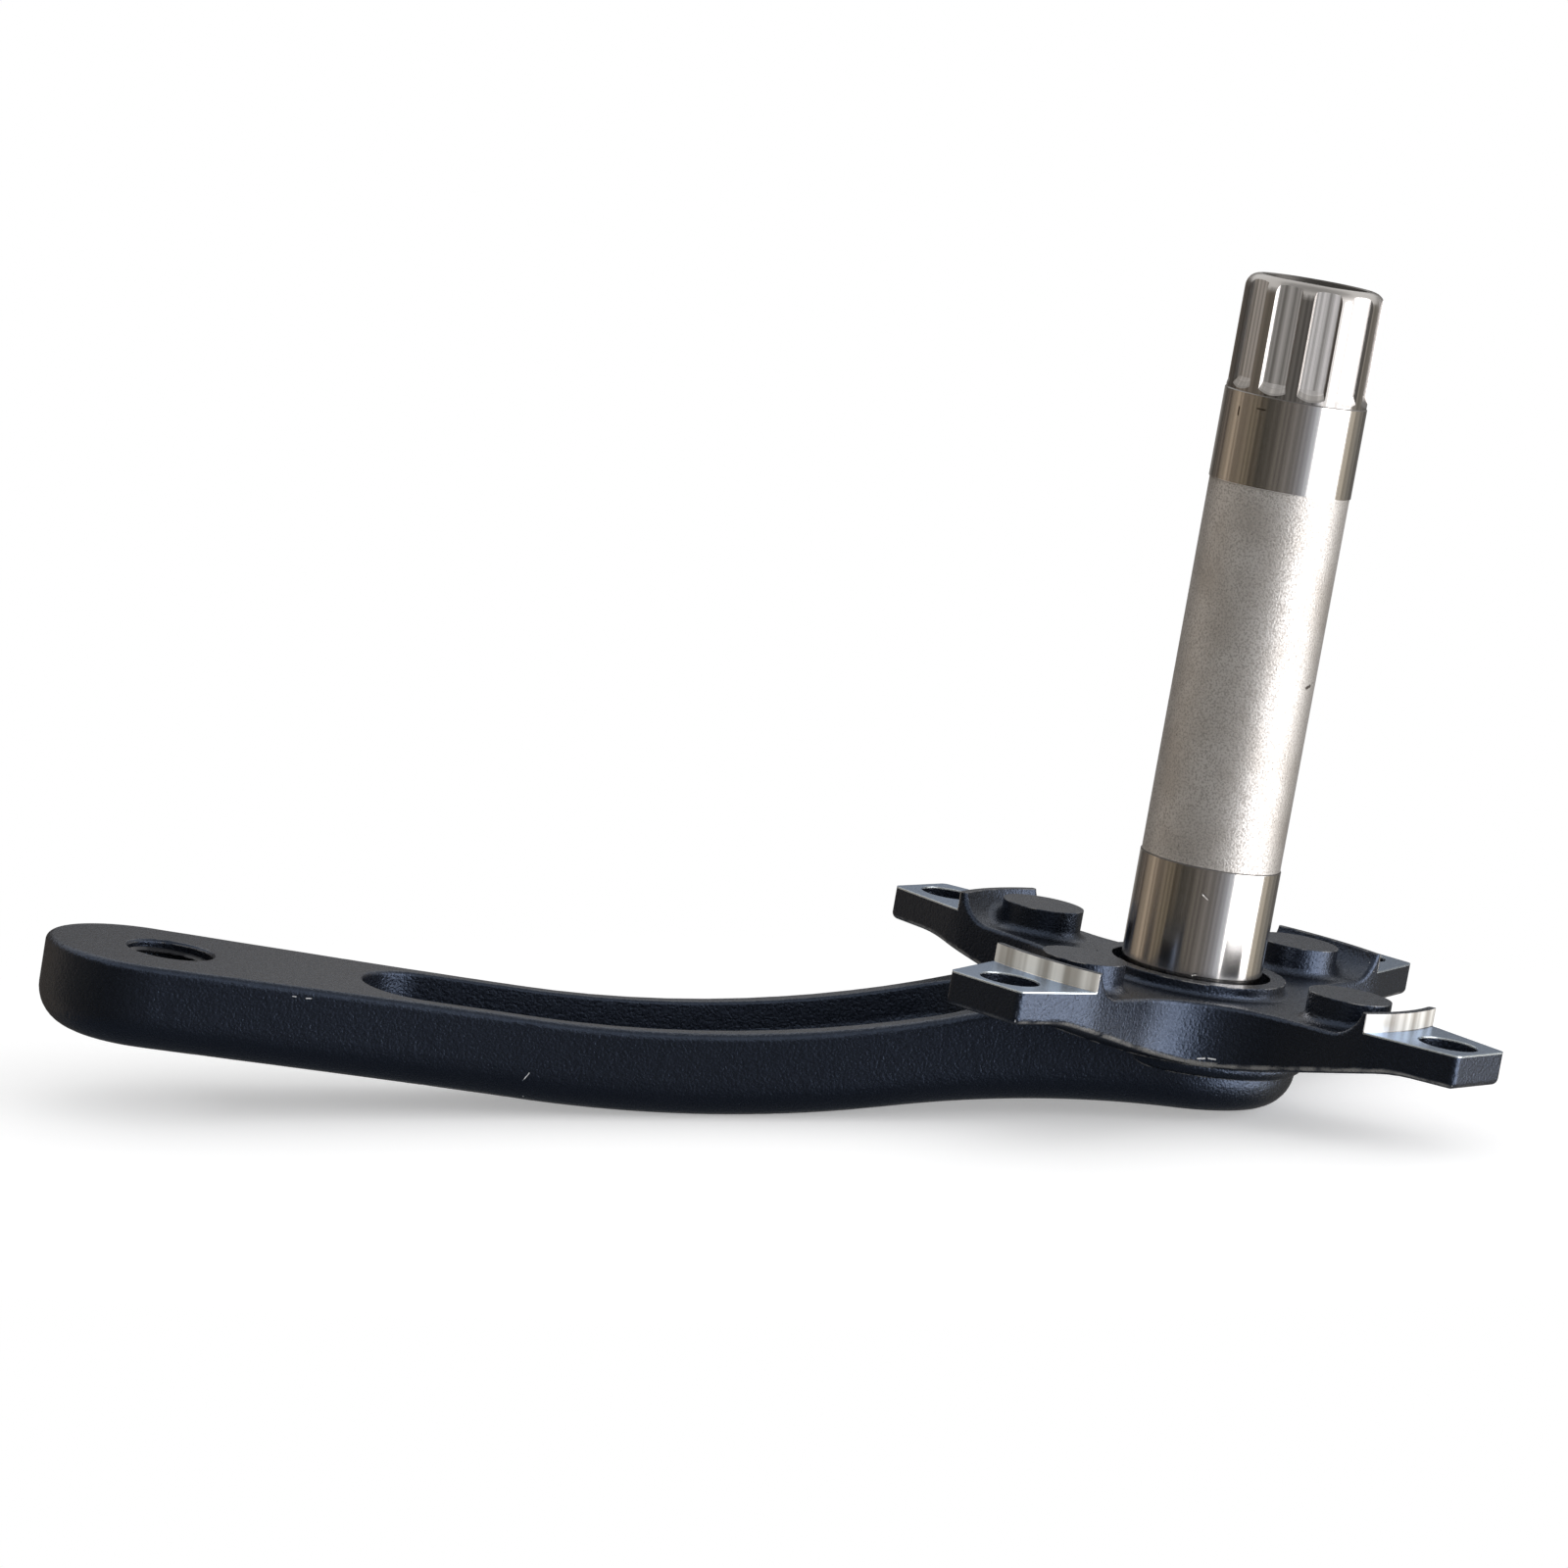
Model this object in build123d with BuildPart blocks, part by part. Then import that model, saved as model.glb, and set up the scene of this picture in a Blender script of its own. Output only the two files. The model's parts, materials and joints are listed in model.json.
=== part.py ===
"""Right-hand bicycle crank arm with a four-arm spider and a pressed-in hollow spindle.

Frame: the spindle turns about Z and points up (+Z, towards the frame of the bicycle).
The chainring seats lie in the plane z = 0. The arm runs along -X to the pedal hole.
All sizes are in millimetres.
"""
import math
import os

from build123d import *

os.makedirs("parts", exist_ok=True)

# Arm
CRANK_LENGTH = 170.0  # spindle axis to pedal axis
ARM_DROP = 22.6  # chainring seats down to the arm's inner face
ARM_THICKNESS = 14.7
ARM_BEND_START = 110.0  # distance from the spindle axis where the arm starts to rise
ARM_BEND_RADIUS = 234.0  # outer face, the same for both bends
ARM_BEND_ANGLE = 15.1
ARM_ROOT_DEPTH = 6.6  # the inner face rises to this depth below the seats, then runs level to the hub
PEDAL_END_RADIUS = 17.0
PEDAL_END_OFFSET = 3.6  # centre of the rounded end, beyond the pedal axis
WAIST_DISTANCE = 118.0
WAIST_HALF_WIDTH = 14.3
SHOULDER_DISTANCE = 60.0
SHOULDER_HALF_WIDTH = 16.0
HUB_RADIUS = 20.4
FLANK_START_ANGLE = 87.0  # where the flank leaves the rounded pedal end, measured from +X
FLANK_END_ANGLE = 100.0  # where it meets the hub
ARM_OUTER_ROUND = 6.5
ARM_INNER_ROUND = 1.2

# Lightening pocket in the arm's inner face, its plan given in the plane of that face's flat part
POCKET_START = 137.8  # distance of its pedal end from the spindle axis
POCKET_END = 32.3
POCKET_START_RADIUS = 10.7
POCKET_END_RADIUS = 11.1
POCKET_DEPTH = 8.6
POCKET_DRAFT = 7.0  # lean of its walls in degrees, so that the forging leaves its die
POCKET_FLOOR_ROUND = 4.5
POCKET_EDGE_ROUND = 0.6

# Pedal hole
PEDAL_THREAD_DIAMETER = 14.29
PEDAL_CHAMFER = 0.4

# Spider
ARM_COUNT = 4
SPIDER_ANGLE = 45.0  # first spider arm, measured from +X
BOLT_CIRCLE = 104.0
BOLT_HOLE_DIAMETER = 10.0
TAB_THICKNESS = 5.7
TAB_END_DISTANCE = 58.6
TAB_END_HALF_WIDTH = 7.2
SPIDER_HALF_WIDTH = 10.7
TAPER_START = 42.0
TAPER_ROUND = 20.0
TAB_CORNER_ROUND = 1.2
WEB_RADIUS = 17.5  # concave web between neighbouring spider arms
REGISTER_DIAMETER = 87.0  # wall that centres the chainring
REGISTER_HEIGHT = 3.1
LIP_WIDTH = 1.2
LIP_RADIUS = 5.8  # hollow that runs from the lip down to the web
LIP_RUN = 5.0  # how far the hollow reaches in from the lip
WEB_DEPTH_OUTER = 1.5  # web below the seats at the foot of the lip
WEB_DEPTH_INNER = 2.0  # web below the seats at the collar
UNDERSIDE_START = 48.5  # where the tabs start to thicken towards the hub
UNDERSIDE_HUB_DEPTH = 12.9
UNDERSIDE_BLEND = 25.0  # where the flat tabs turn into the sloping underside
HUB_BLEND = 2.0
UNDERSIDE_ROUND = 1.2
WEB_EDGE_ROUND = 0.7

# Undrilled pads for a small chainring
PAD_CIRCLE = 64.0
PAD_DIAMETER = 14.0
PAD_HEIGHT = 3.1
PAD_ROUND = 1.4

# Collar round the spindle
COLLAR_DIAMETER = 32.4
COLLAR_BORE = 27.2
COLLAR_HEIGHT = 0.2
COLLAR_GROOVE_DEPTH = 3.7
COLLAR_ROUND = 1.0

# Spindle
SPINDLE_DIAMETER = 24.0
SPINDLE_BORE = 17.0
SPINDLE_TIP = 117.1
SPINDLE_SINK = 1.0  # outer end below the hub's outer face
JOURNAL_RELIEF = 0.17  # foot, middle and spline crests below the bearing seats, on the radius
RIGHT_JOURNAL_BOTTOM = 0.6
RIGHT_JOURNAL_TOP = 18.6
LEFT_JOURNAL_BOTTOM = 82.6
TIP_RIM_WIDTH = 0.15  # flat left between the tip's round and the thread's chamfer
CAP_THREAD_DIAMETER = 17.8
CAP_THREAD_LENGTH = 14.0
CAP_CHAMFER = 0.2
SPLINE_COUNT = 11
SPLINE_ANGLE = -90.0
SPLINE_FLOOR_WIDTH = 4.0
SPLINE_DEPTH = 0.9
SPLINE_FLANK_ANGLE = 40.0
SPLINE_END = 97.6
SPLINE_RUNOUT = 2.4

# Derived places
arm_inner_z = -ARM_DROP
arm_outer_z = arm_inner_z - ARM_THICKNESS
bend_rise = ARM_BEND_RADIUS * (1 - math.cos(math.radians(ARM_BEND_ANGLE)))
hub_outer_z = arm_outer_z + 2 * bend_rise
inner_bend_radius = ARM_BEND_RADIUS - ARM_THICKNESS
inner_bend_angle = math.degrees(math.acos(1 - ARM_DROP / inner_bend_radius))  # up to the seats
pedal_end_x = -(CRANK_LENGTH + PEDAL_END_OFFSET)
pocket_floor_z = arm_inner_z - POCKET_DEPTH
pocket_bend_radius = inner_bend_radius + POCKET_DEPTH
pocket_reach = POCKET_DEPTH + POCKET_FLOOR_ROUND  # the slot starts below its floor
pocket_narrowing = pocket_reach * math.tan(math.radians(POCKET_DRAFT))
register_radius = REGISTER_DIAMETER / 2
lip_foot_radius = register_radius - LIP_WIDTH - LIP_RUN
underside_slope = math.atan2(UNDERSIDE_HUB_DEPTH - TAB_THICKNESS, UNDERSIDE_START - HUB_RADIUS)
hub_blend_reach = HUB_BLEND / math.tan(math.pi / 4 + underside_slope / 2)
hub_blend_start = (
    HUB_RADIUS + hub_blend_reach * math.cos(underside_slope),
    hub_blend_reach * math.sin(underside_slope) - UNDERSIDE_HUB_DEPTH,
)
hub_blend_end = (HUB_RADIUS, -UNDERSIDE_HUB_DEPTH - hub_blend_reach)
tab_reach = math.hypot(TAB_END_DISTANCE, TAB_END_HALF_WIDTH) + TAB_CORNER_ROUND
taper_corner_radius = math.hypot(TAPER_START, SPIDER_HALF_WIDTH)
spindle_radius = SPINDLE_DIAMETER / 2
relief_radius = spindle_radius - JOURNAL_RELIEF
spindle_outer_z = hub_outer_z + SPINDLE_SINK
groove_floor_z = COLLAR_HEIGHT - COLLAR_GROOVE_DEPTH
cap_radius = CAP_THREAD_DIAMETER / 2
tip_round = relief_radius - cap_radius - CAP_CHAMFER - TIP_RIM_WIDTH
spline_floor = spindle_radius - SPLINE_DEPTH
groove_reach = spindle_radius + SPLINE_DEPTH
groove_top = SPLINE_FLOOR_WIDTH + 4 * SPLINE_DEPTH * math.tan(math.radians(SPLINE_FLANK_ANGLE))
far = CRANK_LENGTH + SPINDLE_TIP  # beyond every part of the crank
touch = 0.01  # two places this close are the same


def on_outline(edge):
    """Tell whether an edge of the spider follows its plan outline, not upright and not round the axis."""
    start = edge.position_at(0)
    middle = edge.position_at(0.5)
    upright = abs(edge.tangent_at(0.5).Z) > 0.999
    same_radius = abs(math.hypot(start.X, start.Y) - math.hypot(middle.X, middle.Y)) < touch
    return not upright and not (same_radius and edge.geom_type == GeomType.CIRCLE)


# The arm: its plan outline, cut to its side profile
flank_start_angle = math.radians(FLANK_START_ANGLE)
flank_end_angle = math.radians(FLANK_END_ANGLE)
flank_start = Vector(
    pedal_end_x + PEDAL_END_RADIUS * math.cos(flank_start_angle),
    PEDAL_END_RADIUS * math.sin(flank_start_angle),
)
flank_end = Vector(HUB_RADIUS * math.cos(flank_end_angle), HUB_RADIUS * math.sin(flank_end_angle))
flank_start_run = Vector(math.sin(flank_start_angle), -math.cos(flank_start_angle))
flank_end_run = Vector(math.sin(flank_end_angle), -math.cos(flank_end_angle))

with BuildPart() as arm:
    with BuildSketch() as arm_plan:
        with BuildLine():
            flank = Spline(
                flank_start,
                (-WAIST_DISTANCE, WAIST_HALF_WIDTH),
                (-SHOULDER_DISTANCE, SHOULDER_HALF_WIDTH),
                flank_end,
                tangents=(flank_start_run, flank_end_run),
            )
            mirror(flank, about=Plane.XZ)
            ThreePointArc(flank @ 0, (pedal_end_x - PEDAL_END_RADIUS, 0), (flank_start.X, -flank_start.Y))
            ThreePointArc(flank @ 1, (HUB_RADIUS, 0), (flank_end.X, -flank_end.Y))
        make_face()
    extrude(amount=far, both=True)
    with BuildSketch(Plane.XZ) as arm_side:
        with BuildLine():
            outer_flat = Line((-far, arm_outer_z), (-ARM_BEND_START, arm_outer_z))
            outer_bend = JernArc(outer_flat @ 1, (1, 0), ARM_BEND_RADIUS, ARM_BEND_ANGLE)
            hub_bend = JernArc(outer_bend @ 1, outer_bend % 1, ARM_BEND_RADIUS, -ARM_BEND_ANGLE)
            hub_flat = Line(hub_bend @ 1, (far, hub_outer_z))
            inner_flat = Line((-far, arm_inner_z), (-ARM_BEND_START, arm_inner_z))
            inner_bend = JernArc(inner_flat @ 1, (1, 0), inner_bend_radius, inner_bend_angle)
            spare_top = Line(inner_bend @ 1, (far, (inner_bend @ 1).Y))
            Line(hub_flat @ 1, spare_top @ 1)
            Line(outer_flat @ 0, inner_flat @ 0)
        make_face()
    extrude(amount=far, both=True, mode=Mode.INTERSECT)
    outer_faces = arm.faces().filter_by(lambda face: face.normal_at().Z < -0.5)
    outer_rim = outer_faces.edges().filter_by(GeomType.LINE, reverse=True)
    fillet(outer_rim, radius=ARM_OUTER_ROUND)
    inner_faces = arm.faces().filter_by(lambda face: face.normal_at().Z > 0.5)
    inner_rim = inner_faces.edges().filter_by(GeomType.LINE, reverse=True)
    fillet(inner_rim, radius=ARM_INNER_ROUND)

# The pocket that lightens the arm: a drafted slot with a floor parallel to the inner face
with BuildPart() as pocket:
    with BuildSketch(Plane.XY.offset(arm_inner_z - pocket_reach)):
        with Locations((POCKET_START_RADIUS - POCKET_START, 0)):
            Circle(POCKET_START_RADIUS - pocket_narrowing)
        with Locations((-POCKET_END - POCKET_END_RADIUS, 0)):
            Circle(POCKET_END_RADIUS - pocket_narrowing)
        make_hull()
    extrude(amount=ARM_DROP + pocket_reach, taper=-POCKET_DRAFT)
    with BuildSketch(Plane.XZ):
        with BuildLine():
            floor_flat = Line((-far, pocket_floor_z), (-ARM_BEND_START, pocket_floor_z))
            floor_bend = JernArc(floor_flat @ 1, (1, 0), pocket_bend_radius, inner_bend_angle)
            Line(floor_bend @ 1, ((floor_bend @ 1).X, far))
            Line(((floor_bend @ 1).X, far), (-far, far))
            Line((-far, far), floor_flat @ 0)
        make_face()
    extrude(amount=far, both=True, mode=Mode.INTERSECT)
    floor_faces = pocket.faces().filter_by(lambda face: face.normal_at().Z < -0.5)
    floor_rim = floor_faces.edges().filter_by(lambda edge: abs(edge.tangent_at(0.5).Y) < 0.99)
    fillet(floor_rim, radius=POCKET_FLOOR_ROUND)


# The spider: a turned section, cut to the plan outline of its four arms
with BuildPart() as spider:
    with BuildSketch(Plane.XZ) as spider_section:
        with BuildLine():
            Polyline(
                (0, COLLAR_HEIGHT),
                (COLLAR_DIAMETER / 2, COLLAR_HEIGHT),
                (COLLAR_DIAMETER / 2, -WEB_DEPTH_INNER),
                (lip_foot_radius, -WEB_DEPTH_OUTER),
            )
            lip_hollow = RadiusArc(
                (lip_foot_radius, -WEB_DEPTH_OUTER),
                (register_radius - LIP_WIDTH, REGISTER_HEIGHT),
                -LIP_RADIUS,
            )
            Polyline(
                lip_hollow @ 1,
                (register_radius, REGISTER_HEIGHT),
                (register_radius, 0),
                (tab_reach, 0),
                (tab_reach, -TAB_THICKNESS),
                (UNDERSIDE_START, -TAB_THICKNESS),
                hub_blend_start,
            )
            RadiusArc(hub_blend_start, hub_blend_end, HUB_BLEND)
            Polyline(hub_blend_end, (0, hub_blend_end[1]), (0, COLLAR_HEIGHT))
        make_face()
        tab_bend = spider_section.vertices().sort_by_distance((UNDERSIDE_START, -TAB_THICKNESS))[0]
        fillet(tab_bend, radius=UNDERSIDE_BLEND)
        collar_foot = spider_section.vertices().sort_by_distance((COLLAR_DIAMETER / 2, -WEB_DEPTH_INNER))[0]
        fillet(collar_foot, radius=COLLAR_ROUND)
    revolve(axis=Axis.Z)
    with BuildSketch() as spider_plan:
        with PolarLocations(0, ARM_COUNT, start_angle=SPIDER_ANGLE):
            Polygon(
                (0, -SPIDER_HALF_WIDTH),
                (TAPER_START, -SPIDER_HALF_WIDTH),
                (TAB_END_DISTANCE, -TAB_END_HALF_WIDTH),
                (TAB_END_DISTANCE, TAB_END_HALF_WIDTH),
                (TAPER_START, SPIDER_HALF_WIDTH),
                (0, SPIDER_HALF_WIDTH),
                align=None,
            )
        corners = spider_plan.vertices().sort_by_distance((0, 0, 0))
        fillet(corners[:ARM_COUNT], radius=WEB_RADIUS)
        corners = spider_plan.vertices().sort_by_distance((0, 0, 0))
        fillet(corners[-2 * ARM_COUNT:], radius=TAB_CORNER_ROUND)
        taper_corners = spider_plan.vertices().filter_by(
            lambda corner: abs(math.hypot(corner.X, corner.Y) - taper_corner_radius) < touch
        )
        fillet(taper_corners, radius=TAPER_ROUND)
    extrude(amount=far, both=True, mode=Mode.INTERSECT)
    rim = spider.edges().filter_by(on_outline)
    lower_rim = rim.filter_by(lambda edge: edge.position_at(0.5).Z < -TAB_THICKNESS + touch)
    fillet(lower_rim, radius=UNDERSIDE_ROUND)
    rim = spider.edges().filter_by(on_outline)
    web_rim = rim.filter_by(lambda edge: -TAB_THICKNESS / 2 < edge.position_at(0.5).Z < -touch)
    fillet(web_rim, radius=WEB_EDGE_ROUND)

# The forging: arm, spider, pads and collar in one piece, then its holes
with BuildPart() as crank_arm:
    add(arm.part)
    add(pocket.part, mode=Mode.SUBTRACT)
    fillet(crank_arm.edges(Select.NEW), radius=POCKET_EDGE_ROUND)
    arm_root = Plane.XY.offset(-ARM_ROOT_DEPTH)
    split(bisect_by=arm_root, keep=Keep.BOTTOM)
    add(spider.part)
    with PolarLocations(PAD_CIRCLE / 2, ARM_COUNT, start_angle=SPIDER_ANGLE):
        with Locations((0, 0, PAD_HEIGHT)):
            Cylinder(
                PAD_DIAMETER / 2,
                PAD_HEIGHT + TAB_THICKNESS,
                align=(Align.CENTER, Align.CENTER, Align.MAX),
            )
    pad_feet = crank_arm.edges(Select.NEW)
    fillet(pad_feet, radius=PAD_ROUND)
    with Locations((0, 0, COLLAR_HEIGHT)):
        Cylinder(
            COLLAR_BORE / 2,
            COLLAR_GROOVE_DEPTH,
            align=(Align.CENTER, Align.CENTER, Align.MAX),
            mode=Mode.SUBTRACT,
        )
    Cylinder(spindle_radius, far, mode=Mode.SUBTRACT)
    with PolarLocations(BOLT_CIRCLE / 2, ARM_COUNT, start_angle=SPIDER_ANGLE):
        Cylinder(BOLT_HOLE_DIAMETER / 2, far, mode=Mode.SUBTRACT)
    with Locations((-CRANK_LENGTH, 0, 0)):
        Cylinder(PEDAL_THREAD_DIAMETER / 2, far, mode=Mode.SUBTRACT)
    pedal_edges = crank_arm.edges().filter_by(GeomType.CIRCLE).filter_by(
        lambda edge: (edge.arc_center - Vector(-CRANK_LENGTH, 0, edge.arc_center.Z)).length < touch
    )
    chamfer(pedal_edges, length=PEDAL_CHAMFER)

# The spindle: a turned tube with ground seats, splined at its free end
with BuildPart() as spline_groove:
    with BuildSketch():
        Polygon(
            (spline_floor, -SPLINE_FLOOR_WIDTH / 2),
            (groove_reach, -groove_top / 2),
            (groove_reach, groove_top / 2),
            (spline_floor, SPLINE_FLOOR_WIDTH / 2),
            align=None,
        )
    extrude(amount=far)
    with BuildSketch(Plane.XZ):
        Polygon(
            (spline_floor, SPLINE_END + SPLINE_RUNOUT),
            (groove_reach, SPLINE_END - SPLINE_RUNOUT),
            (groove_reach, far),
            (spline_floor, far),
            align=None,
        )
    extrude(amount=far, both=True, mode=Mode.INTERSECT)

with BuildPart() as spindle:
    with BuildSketch(Plane.XZ):
        with BuildLine():
            Polyline(
                (SPINDLE_BORE / 2, spindle_outer_z),
                (spindle_radius, spindle_outer_z),
                (spindle_radius, groove_floor_z),
                (relief_radius, groove_floor_z + JOURNAL_RELIEF),
                (relief_radius, RIGHT_JOURNAL_BOTTOM - JOURNAL_RELIEF),
                (spindle_radius, RIGHT_JOURNAL_BOTTOM),
                (spindle_radius, RIGHT_JOURNAL_TOP),
                (relief_radius, RIGHT_JOURNAL_TOP + JOURNAL_RELIEF),
                (relief_radius, LEFT_JOURNAL_BOTTOM - JOURNAL_RELIEF),
                (spindle_radius, LEFT_JOURNAL_BOTTOM),
                (spindle_radius, SPLINE_END),
                (relief_radius, SPLINE_END + JOURNAL_RELIEF),
                (relief_radius, SPINDLE_TIP - tip_round),
            )
            RadiusArc(
                (relief_radius, SPINDLE_TIP - tip_round),
                (relief_radius - tip_round, SPINDLE_TIP),
                -tip_round,
            )
            Polyline(
                (relief_radius - tip_round, SPINDLE_TIP),
                (cap_radius + CAP_CHAMFER, SPINDLE_TIP),
                (cap_radius, SPINDLE_TIP - CAP_CHAMFER),
                (cap_radius, SPINDLE_TIP - CAP_THREAD_LENGTH),
                (SPINDLE_BORE / 2, SPINDLE_TIP - CAP_THREAD_LENGTH),
                (SPINDLE_BORE / 2, spindle_outer_z),
            )
        make_face()
    revolve(axis=Axis.Z)
    with PolarLocations(0, SPLINE_COUNT, start_angle=SPLINE_ANGLE):
        add(spline_groove.part, mode=Mode.SUBTRACT)

crank_arm.part.label = "crank_arm"
export_step(crank_arm.part, "parts/crank_arm.step")
spindle.part.label = "spindle"
export_step(spindle.part, "parts/spindle.step")
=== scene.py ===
"""Looks of a bicycle crank arm: its finishes, its threads and the studio that it is shown in.

Objects are in metres, in the part's own frame: the spindle stands along +Z with the chainring seats
at z = 0, and the arm runs along -X. Finishes measure the surface in millimetres.
"""
import json
import logging
import math
from abc import ABC, abstractmethod
from dataclasses import dataclass
from enum import Enum

import bmesh
import bpy
import numpy as np
from mathutils import Matrix, Vector


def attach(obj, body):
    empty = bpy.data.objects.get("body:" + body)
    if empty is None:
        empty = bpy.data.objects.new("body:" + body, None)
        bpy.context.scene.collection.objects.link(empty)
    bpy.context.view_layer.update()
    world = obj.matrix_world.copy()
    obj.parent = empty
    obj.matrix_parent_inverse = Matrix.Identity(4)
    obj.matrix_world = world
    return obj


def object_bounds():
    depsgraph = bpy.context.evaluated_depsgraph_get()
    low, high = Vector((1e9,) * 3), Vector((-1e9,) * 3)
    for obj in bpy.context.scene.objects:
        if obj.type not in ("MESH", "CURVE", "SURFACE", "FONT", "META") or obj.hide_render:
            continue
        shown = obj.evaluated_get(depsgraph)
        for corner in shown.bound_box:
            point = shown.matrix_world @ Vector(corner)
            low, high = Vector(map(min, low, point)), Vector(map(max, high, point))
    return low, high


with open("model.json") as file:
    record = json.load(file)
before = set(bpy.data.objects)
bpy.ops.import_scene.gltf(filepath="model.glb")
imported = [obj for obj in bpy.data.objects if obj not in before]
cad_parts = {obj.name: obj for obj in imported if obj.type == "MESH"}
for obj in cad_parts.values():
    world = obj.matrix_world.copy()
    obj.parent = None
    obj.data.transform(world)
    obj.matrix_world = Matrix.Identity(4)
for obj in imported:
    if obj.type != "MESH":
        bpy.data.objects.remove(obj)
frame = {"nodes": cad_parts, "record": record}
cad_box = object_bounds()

log = logging.getLogger("crank_arm")

Colour = tuple[float, float, float, float]
Point = tuple[float, float, float]
Span = tuple[float, float]
Object = bpy.types.Object
Material = bpy.types.Material
Tree = bpy.types.NodeTree
Node = bpy.types.Node
Socket = bpy.types.NodeSocket
Sockets = bpy.types.bpy_prop_collection
Input = float | Point | Colour | Socket
Inputs = dict[str | int, Input]

# Metres in a millimetre.
MM = 0.001
# The photo's width in pixels, which the camera's focal length counts in.
IMAGE_WIDTH = 1600
# Where most of a noise texture's values lie.
NOISE_RANGE: Span = (0.3, 0.7)
BEVEL_SAMPLES = 6
# The room's brightness about the object, by the turn in degrees.
ROOM_TONES: tuple[tuple[float, Point], ...] = (
    (0.0, (0.74, 0.68, 0.58)),
    (12.0, (0.42, 0.385, 0.33)),
    (32.0, (0.24, 0.23, 0.21)),
    (55.0, (0.12, 0.115, 0.11)),
    (76.0, (0.22, 0.215, 0.21)),
    (98.0, (0.26, 0.245, 0.23)),
    (112.0, (0.11, 0.1, 0.09)),
    (134.0, (0.13, 0.11, 0.095)),
    (150.0, (0.36, 0.3, 0.235)),
    (164.0, (0.34, 0.28, 0.22)),
    (176.0, (0.2, 0.165, 0.13)),
    (196.0, (0.19, 0.16, 0.12)),
    (207.0, (0.13, 0.11, 0.085)),
    (218.0, (0.055, 0.05, 0.042)),
    (236.0, (0.115, 0.105, 0.092)),
    (254.0, (0.165, 0.152, 0.142)),
    (272.0, (0.225, 0.215, 0.212)),
    (288.0, (0.3, 0.305, 0.335)),
    (303.0, (0.8, 0.85, 0.94)),
)


class Body(Enum):
    """The bodies that a piece can ride on."""

    ROOT = "root"


class Solid(Enum):
    """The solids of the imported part."""

    CRANK_ARM = "crank_arm"
    SPINDLE = "spindle"


class Slot(Enum):
    """The record's material slots."""

    BLACK_ALUMINIUM = "black_aluminium"
    STEEL = "steel"


class Mount(Enum):
    """The mounts whose sizes the finishes and threads follow."""

    PEDAL_THREAD = "pedal_thread"
    RIGHT_SEAT = "right_bearing_seat"
    LEFT_SEAT = "left_bearing_seat"
    CAP_THREAD = "preload_cap_thread"


@dataclass(frozen=True)
class MountSize:
    """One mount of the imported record, in millimetres."""

    centre: Vector
    radius: float
    length: float

    @classmethod
    def read(cls, mount: Mount) -> "MountSize":
        """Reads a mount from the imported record."""
        row = next(m for m in frame["record"]["mounts"] if m["name"] == mount.value)
        return cls(Vector(row["pos_m"]) / MM, row["dims"]["r_mm"], row["dims"]["length_mm"])

    @property
    def low(self) -> float:
        """Height of the mount's lower end."""
        return self.centre.z - self.length / 2

    @property
    def high(self) -> float:
        """Height of the mount's upper end."""
        return self.centre.z + self.length / 2


def add_object(name: str, data: bpy.types.ID) -> Object:
    """Adds an object to the scene.

    Args:
        name: The object's name.
        data: Its mesh, light or camera.

    Returns:
        The object.
    """
    thing = bpy.data.objects.new(name, data)
    bpy.context.scene.collection.objects.link(thing)
    return thing


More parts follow.
